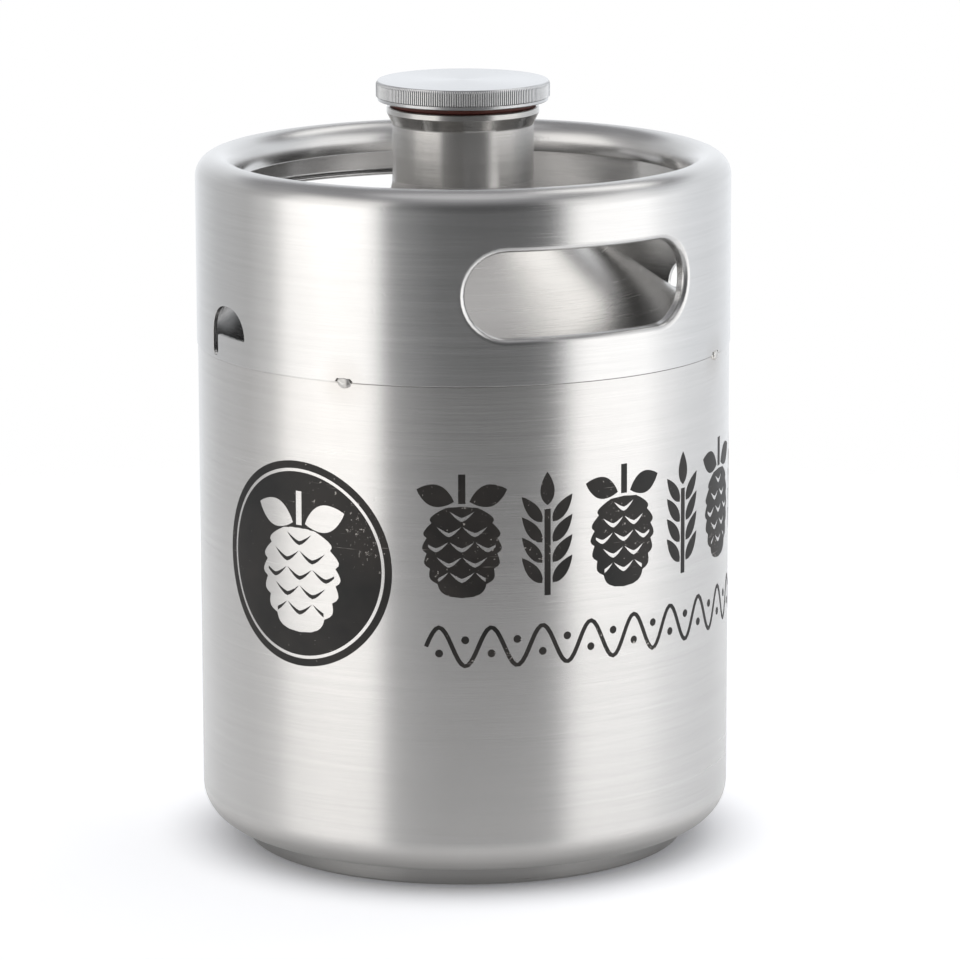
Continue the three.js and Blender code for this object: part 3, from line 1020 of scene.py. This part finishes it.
def coat(material, nodes, inputs):
    """Ends the material's nodes with a principled shader."""
    shader = nodes.add("BsdfPrincipled", inputs)
    nodes.add("OutputMaterial", {"Surface": shader.outputs[0]})
    return material


def stretched(nodes, across, along_run):
    """Coordinates that change slowly round the axis and quickly along the surface's run, so that
    noise on them makes fine lines round the piece. Both are turns of noise per millimetre."""
    split = nodes.add("SeparateXYZ", {0: nodes.position()})
    run = nodes.add("Attribute", attribute_name="run").outputs["Fac"]
    return nodes.add("CombineXYZ", {
        "X": nodes.math("MULTIPLY", split.outputs["X"], across / MM),
        "Y": nodes.math("MULTIPLY", split.outputs["Y"], across / MM),
        "Z": nodes.math("MULTIPLY", run, along_run),
    }).outputs[0]


def near_spots(nodes, angles, radius, z, inner, outer):
    """1 within inner millimetres of these places on the keg, falling to 0 at outer."""
    place_out = nodes.position()
    nearest = None
    for angle in angles:
        spot = place(np.array(angle), radius, z) * MM
        apart = nodes.add("VectorMath", {0: place_out, 1: spot.tolist()}, operation="DISTANCE")
        value = apart.outputs["Value"]
        nearest = value if nearest is None else nodes.math("MINIMUM", nearest, value)
    return nodes.range(nearest, inner * MM, outer * MM, 1.0, 0.0, smooth=True)


def knurl_groove_shade(nodes, place_out):
    """Painted shade in the cap's knurl: 1 at the bottom of its grooves, falling to 0 at the top of
    its ridges.
    """
    split = nodes.add("SeparateXYZ", {0: place_out})
    flat = nodes.add("CombineXYZ", {"X": split.outputs["X"], "Y": split.outputs["Y"]})
    radius = nodes.add("VectorMath", {0: flat.outputs[0]}, operation="LENGTH").outputs["Value"]
    depth = nodes.range(radius, (CAP_R - KNURL_DEPTH) * MM, (CAP_R - 0.04) * MM, 1.0, 0.0)
    over = nodes.math("GREATER_THAN", split.outputs["Z"], (KNURL_LOW - 0.1) * MM)
    under = nodes.math("LESS_THAN", split.outputs["Z"], (KNURL_HIGH + 0.1) * MM)
    return nodes.math("MULTIPLY", depth, nodes.math("MULTIPLY", over, under))


def steel(name, colour, roughness, stretch, line_depth, heat=0.0, drain_painted_shade=0.0,
          knurled=False):
    """Brushed or turned stainless steel with fine lines round the axis, broad uneven patches, and
    light scratches. stretch is how far the lines spread a highlight across themselves, heat is
    the tint beside the tack welds, drain_painted_shade is the strength of a painted shade on the
    steel beside the drains, where the photo's drain looks dark and this light leaves it pale, and
    knurled says that the piece has the cap's knurl, with painted shade in its grooves."""
    material, nodes = new_material(name)
    place_out = nodes.position()
    fine = nodes.noise(stretched(nodes, 0.04, 4.5), 1.0, detail=3.0, roughness=0.65)
    broad = nodes.noise(stretched(nodes, 0.012, 0.55), 1.0, detail=2.0)
    patches = nodes.noise(place_out, 26.0, detail=3.0)
    scratch_noise = nodes.noise(stretched(nodes, 0.02, 0.9), 1.0, detail=0.0)
    scratches = nodes.range(nodes.math("ABSOLUTE", nodes.math("SUBTRACT", scratch_noise, 0.52)),
                            0.0, 0.006, 1.0, 0.0)
    lines = nodes.math("MULTIPLY_ADD", broad, 0.45, nodes.math("MULTIPLY", fine, 0.55))
    shade = nodes.range(lines, 0.3, 0.7)
    dark = [channel * 0.935 for channel in colour] + [1.0]
    light = [min(1.0, channel * 1.04) for channel in colour] + [1.0]
    tone = mix_node(nodes, shade, dark, light)
    tone = mix_node(nodes, nodes.range(patches, 0.42, 0.75, 0.0, 0.2), tone,
                    [colour[0] * 0.86, colour[1] * 0.86, colour[2] * 0.85, 1.0])
    if heat:
        smudge = nodes.math("MULTIPLY", nodes.range(patches, 0.3, 0.65),
                            near_spots(nodes, TACK_ANGLES, BODY_R, COLLAR_LOW - 0.5, 0.8, 9.0))
        tone = mix_node(nodes, nodes.math("MULTIPLY", smudge, heat), tone, [0.42, 0.38, 0.34, 1.0])
    # Painted shade: the dome's steel is darkened beside the drains.
    if drain_painted_shade:
        beside = near_spots(nodes, DRAIN_ANGLES, DOME_R - 4, DRAIN_FLAT_Z + 2, 18.0, 30.0)
        tone = mix_node(nodes, nodes.math("MULTIPLY", beside, drain_painted_shade), tone,
                        [0.12, 0.12, 0.12, 1.0])
    # Painted shade: the knurl's grooves are darkened to nearly black.
    if knurled:
        tone = mix_node(nodes, knurl_groove_shade(nodes, place_out), tone, [0.10, 0.10, 0.10, 1.0])
    rough = nodes.math("MULTIPLY_ADD", nodes.math("SUBTRACT", lines, 0.5), 0.1, roughness)
    rough = nodes.math("MULTIPLY_ADD", nodes.math("SUBTRACT", patches, 0.5), 0.06, rough)
    height = nodes.math("MULTIPLY_ADD", scratches, -0.35, fine)
    tangent = nodes.add("Tangent", direction_type="RADIAL", axis="Z")
    return coat(material, nodes, {
        "Base Color": tone, "Metallic": 1.0, "Roughness": rough, "Anisotropic": stretch,
        "Anisotropic Rotation": 0.25, "Tangent": tangent.outputs[0],
        "Normal": nodes.bump(line_depth, 0.00006, height),
    })


def weld_metal():
    """Weld metal, lumpy and tinted by heat."""
    material, nodes = new_material("weld_metal")
    place_out = nodes.position()
    patches = nodes.noise(place_out, 420.0, detail=4.0)
    tone = mix_node(nodes, nodes.range(patches, 0.35, 0.65), [0.58, 0.56, 0.54, 1.0],
                    [0.76, 0.75, 0.73, 1.0])
    rust = nodes.noise(place_out, 900.0, detail=2.0)
    tone = mix_node(nodes, nodes.range(rust, 0.58, 0.72, 0.0, 0.6), tone, [0.33, 0.17, 0.08, 1.0])
    return coat(material, nodes, {
        "Base Color": tone, "Metallic": 1.0, "Roughness": nodes.range(patches, 0.3, 0.7, 0.28, 0.5),
        "Normal": nodes.bump(0.35, 0.0002, patches),
    })


def silicone():
    """Dark red-brown silicone with a faint mould grain."""
    material, nodes = new_material("silicone")
    place_out = nodes.position()
    grain = nodes.noise(place_out, 1500.0, detail=3.0)
    tone = mix_node(nodes, nodes.range(grain, 0.3, 0.7), [0.10, 0.022, 0.015, 1.0],
                    [0.15, 0.038, 0.027, 1.0])
    return coat(material, nodes, {
        "Base Color": tone, "Roughness": nodes.range(grain, 0.3, 0.7, 0.5, 0.68),
        "Normal": nodes.bump(0.25, 0.00005, grain),
    })


def worn_ink():
    """Black print with light specks and rubbed lines where the steel shows through."""
    material, nodes = new_material("worn_ink")
    place_out = nodes.position()
    clouds = nodes.noise(place_out, 55.0, detail=3.0)
    specks = nodes.noise(place_out, 900.0, detail=3.0, roughness=0.7)
    rubbed = nodes.noise(stretched(nodes, 0.06, 2.2), 1.0, detail=3.0, roughness=0.7)
    threshold = nodes.range(clouds, 0.35, 0.7, 0.74, 0.6)
    bare = nodes.math("MAXIMUM",
                      nodes.range(nodes.math("SUBTRACT", specks, threshold), 0.0, 0.05),
                      nodes.range(nodes.math("SUBTRACT", rubbed, threshold), 0.03, 0.09, 0.0, 0.7))
    tone = mix_node(nodes, nodes.range(clouds, 0.3, 0.7), [0.006, 0.006, 0.006, 1.0],
                    [0.036, 0.031, 0.028, 1.0])
    tone = mix_node(nodes, bare, tone, [0.50, 0.47, 0.44, 1.0])
    return coat(material, nodes, {
        "Base Color": tone, "Metallic": nodes.math("MULTIPLY", bare, 0.8),
        "Roughness": nodes.range(clouds, 0.3, 0.7, 0.42, 0.55), "Specular IOR Level": 0.35,
        "Normal": nodes.bump(0.2, 0.00003, rubbed),
    })


# ---- Light, floor and camera ----

VIEW_ANGLE = math.radians(-27.35)  # round the axis, of the camera
CAMERA_DISTANCE = 1385.5
CAMERA_HEIGHT = 380.5
CAMERA_PITCH, CAMERA_YAW, CAMERA_ROLL = 0.205, 0.00297, 0.0025
LENS = 205.15

# The room's light: degrees round the keg from the camera, to its right, strength and warmth
ROOM_LIGHTS = [
    (-180, 1.05, -0.8), (-130, 0.62, -0.4), (-105, 0.55, 0.0), (-90, 0.80, 0.2),
    (-80, 1.45, 0.5), (-62, 1.65, 0.6), (-43, 1.6, 0.5), (-38, 1.25, 0.3), (-33, 0.55, 0.0),
    (-29, 0.33, -0.2), (-21, 0.23, -0.3), (-10, 0.14, -0.4), (8, 0.11, -0.4), (26, 0.12, -0.4),
    (37, 0.20, -0.3), (42, 0.5, -0.1), (46, 1.0, 0.1), (50, 1.38, 0.2), (56, 1.55, 0.2),
    (84, 1.55, 0.0), (97, 1.2, -0.4), (112, 1.0, -0.8), (130, 0.9, -0.8), (152, 0.95, -0.8),
    (180, 1.05, -0.8),
]
ROOM_STRENGTH = 2.0  # the ring's colours are shares of it
LAMP_PLAN, LAMP_RISE = VIEW_ANGLE + math.radians(139), math.radians(55)
LAMP_EDGE, LAMP_CORE = math.radians(16), math.radians(8)


def room_ring(nodes, plan):
    """The room's light by its angle round the keg."""
    ring = nodes.add("ValToRGB", {0: nodes.range(plan, -math.pi, math.pi)})
    stops = ring.color_ramp.elements
    while len(stops) > 1:
        stops.remove(stops[-1])
    for i, (degrees, strength, warmth) in enumerate(ROOM_LIGHTS):
        position = (degrees + 180) / 360
        stop = stops[0] if i == 0 else stops.new(position)
        stop.position = position
        share = strength / ROOM_STRENGTH
        stop.color = [share * (1 + 0.03 * warmth), share, share * (1 - 0.04 * warmth), 1.0]
    return ring.outputs["Color"]


def world_light():
    """A studio round the keg: two tall softboxes beside the camera, a dark gap between them, a
    pale room behind, a dim ceiling and a lamp in it. The camera itself sees plain white."""
    world = bpy.data.worlds.new("studio")
    bpy.context.scene.world = world
    world.use_nodes = True
    nodes = Nodes(world.node_tree)
    direction = nodes.add("TexCoord").outputs["Generated"]
    front = place(np.array(VIEW_ANGLE), 1.0, 0.0).tolist()
    side = [math.cos(VIEW_ANGLE), math.sin(VIEW_ANGLE), 0.0]
    ahead = nodes.add("VectorMath", {0: direction, 1: front}, operation="DOT_PRODUCT")
    across = nodes.add("VectorMath", {0: direction, 1: side}, operation="DOT_PRODUCT")
    plan = nodes.math("ARCTAN2", across.outputs["Value"], ahead.outputs["Value"])
    height = nodes.add("SeparateXYZ", {0: direction}).outputs["Z"]
    behind = nodes.range(ahead.outputs["Value"], -0.1, -0.5)
    box_top = nodes.math("MULTIPLY", nodes.math("SUBTRACT", 1.0, behind),
                         nodes.range(height, 0.2, 0.27, 0.0, 0.24))
    light = mix_node(nodes, box_top, room_ring(nodes, plan), [0.0, 0.0, 0.0, 1.0])
    above = nodes.math("MAXIMUM", nodes.range(height, 0.58, 0.82, smooth=True),
                       nodes.math("MULTIPLY", behind, nodes.range(height, 0.46, 0.62)))
    light = mix_node(nodes, above, light, [0.15, 0.15, 0.155, 1.0])
    overhead = nodes.range(height, 0.9, 0.97, smooth=True)
    light = mix_node(nodes, overhead, light, [0.35, 0.35, 0.355, 1.0])
    lamp_way = place(np.array(LAMP_PLAN), math.cos(LAMP_RISE), math.sin(LAMP_RISE)).tolist()
    near = nodes.add("VectorMath", {0: direction, 1: lamp_way}, operation="DOT_PRODUCT")
    lamp = nodes.range(near.outputs["Value"], math.cos(LAMP_EDGE), math.cos(LAMP_CORE), smooth=True)
    light = mix_node(nodes, lamp, light, [0.80, 0.795, 0.785, 1.0])
    seen = nodes.add("LightPath").outputs["Is Camera Ray"]
    lit = nodes.add("Background", {"Color": light, "Strength": ROOM_STRENGTH})
    plain = nodes.add("Background", {"Color": WHITE, "Strength": 1.0})
    both = nodes.add("MixShader", {0: seen, 1: lit.outputs[0], 2: plain.outputs[0]})
    nodes.add("OutputWorld", {"Surface": both.outputs[0]})


def floor():
    """A white table top that fades out into the white room. Its top glows more away from the keg, a
    painted light that leaves a painted shadow round the foot. The keg mirrors a duller table than the
    camera sees, a shaded copy with a painted shadow near the foot and a faint painted glow, partly
    see-through to the room's light, which darkens its lower wall."""
    reach, depth = 900.0, 2.0
    top = turned_piece("floor", [
        [0, -depth, 0], [reach, -depth, 0.5], [reach, 0.0, 0.5], [0, 0.0, 0],
    ], segments=96, closed=False)
    material, nodes = new_material("floor")
    place_out = nodes.position()
    away = nodes.add("VectorMath", {0: place_out}, operation="LENGTH").outputs["Value"]
    gone = nodes.range(away, 0.22, 0.5, smooth=True)
    grain = nodes.noise(place_out, 60.0, detail=2.0)
    tone = mix_node(nodes, grain, [0.88, 0.89, 0.93, 1.0], [0.90, 0.91, 0.95, 1.0])
    # Painted light: the top the camera sees glows more away from the keg, which leaves a painted
    # shadow round the foot.
    painted_glow = nodes.range(away, 0.051, 0.083, 0.0, 0.55, smooth=True)
    white = nodes.add("BsdfPrincipled", {
        "Base Color": tone, "Roughness": 0.6, "Specular IOR Level": 0.0,
        "Emission Color": WHITE, "Emission Strength": painted_glow,
    })
    # Painted shadow on the table the keg mirrors, darker near the foot, with a faint painted glow on
    # top.
    painted_shadow = nodes.range(away, 0.056, 0.086, 0.36, 0.95, smooth=True)
    shaded_mirror_table = nodes.add("BsdfPrincipled", {
        "Base Color": painted_shadow, "Roughness": 1.0, "Specular IOR Level": 0.0,
        "Emission Color": WHITE, "Emission Strength": 0.19,
    })
    seen = nodes.add("LightPath").outputs["Is Camera Ray"]
    table = nodes.add("MixShader", {0: seen, 1: shaded_mirror_table.outputs[0], 2: white.outputs[0]})
    glossy = nodes.math("MULTIPLY", nodes.math("SUBTRACT", 1.0, seen),
                        nodes.range(away, 0.066, 0.1, 0.0, 0.6, smooth=True))
    clear = nodes.add("BsdfTransparent")
    both = nodes.add("MixShader", {0: nodes.math("MAXIMUM", gone, glossy), 1: table.outputs[0],
                                   2: clear.outputs[0]})
    nodes.add("OutputMaterial", {"Surface": both.outputs[0]})
    top.data.materials.append(material)
    top.location.z = -0.05 * MM


def camera():
    """A long lens from the front left, a little above the keg."""
    pitch, roll = CAMERA_PITCH, CAMERA_ROLL
    ahead = Vector((0, math.cos(pitch), -math.sin(pitch)))
    right = Vector((1, 0, 0))
    down = Vector((0, -math.sin(pitch), -math.cos(pitch)))
    swing = Matrix.Rotation(-CAMERA_YAW, 3, "Z")
    ahead, right, down = swing @ ahead, swing @ right, swing @ down
    tilted_right = right * math.cos(roll) + down * math.sin(roll)
    tilted_down = down * math.cos(roll) - right * math.sin(roll)
    turn = Matrix.Rotation(VIEW_ANGLE, 3, "Z")
    axes = [turn @ tilted_right, -(turn @ tilted_down), -(turn @ ahead)]
    matrix = Matrix([[axis[row] for axis in axes] for row in range(3)]).to_4x4()
    eye = place(np.array(VIEW_ANGLE), CAMERA_DISTANCE, CAMERA_HEIGHT)
    matrix.translation = Vector(eye * MM)
    lens = bpy.data.cameras.new("camera")
    lens.lens = LENS
    lens.sensor_width = 36.0
    lens.clip_start, lens.clip_end = 0.05, 20.0
    made = bpy.data.objects.new("camera", lens)
    made.matrix_world = matrix
    bpy.context.scene.collection.objects.link(made)
    bpy.context.scene.camera = made


# ---- Putting it together ----

def finish_piece(piece, body_name, material, slot, *nodes):
    """Gives a piece its material, its CAD body and the CAD nodes that it stands for."""
    piece.data.materials.append(material)
    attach(piece, body_name)
    if nodes:
        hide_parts(*nodes)


def build_keg():
    """All the pieces, with their materials."""
    steel_body = steel("steel_body", (0.71, 0.70, 0.69), 0.25, 0.92, 0.24, heat=0.3)
    steel_collar = steel("steel_collar", (0.70, 0.695, 0.69), 0.23, 0.92, 0.22, heat=0.3)
    steel_dome = steel("steel_dome", (0.70, 0.685, 0.665), 0.26, 0.7, 0.3, drain_painted_shade=0.95)
    # The foot's steel is darker than the rest: painted shade for the shadow under the vessel's
    # overhang.
    steel_foot_shaded = steel("steel_foot_shaded", (0.43, 0.425, 0.42), 0.3, 0.6, 0.2)
    # The neck's steel is a little darker than the vessel's: painted shade for the well inside the
    # collar.
    steel_neck_shaded = steel("steel_neck_shaded", (0.64, 0.63, 0.615), 0.21, 1.0, 0.2)
    steel_fillet = steel("steel_fillet", (0.74, 0.73, 0.72), 0.22, 0.3, 0.05)
    steel_cap = steel("steel_cap", (0.70, 0.705, 0.715), 0.22, 0.4, 0.12, knurled=True)
    weld = weld_metal()
    print_ink = worn_ink()
    finish_piece(body(), "keg", steel_body, "brushed_body", "body_shell")
    finish_piece(dome(), "keg", steel_dome, "brushed_dome", "body_dome")
    finish_piece(seam_weld(), "keg", steel_body, "weld", "girth_weld")
    finish_piece(foot(), "keg", steel_foot_shaded, "brushed_foot", "foot_ring")
    finish_piece(collar(), "keg", steel_collar, "brushed_collar", "handle_collar")
    finish_piece(neck(), "keg", steel_neck_shaded, "turned_steel", "neck")
    finish_piece(neck_fillet(), "keg", steel_fillet, "weld", "neck_weld")
    finish_piece(gasket(), "seal", silicone(), "silicone", "cap_gasket")
    finish_piece(cap(), "cap", steel_cap, "turned_cap", "screw_cap")
    for i, bead in enumerate(tack_welds()):
        finish_piece(bead, "keg", weld, "weld", f"collar_tack_weld_{i + 1}")
    for i, bead in enumerate(foot_welds()):
        finish_piece(bead, "keg", weld, "weld", f"foot_tack_weld_{i + 1}")
    for piece in (badge(), plant_band(), wave_band()):
        finish_piece(piece, "keg", print_ink, None)


world_light()
floor()
camera()
build_keg()
bpy.context.scene.view_settings.view_transform = "Standard"
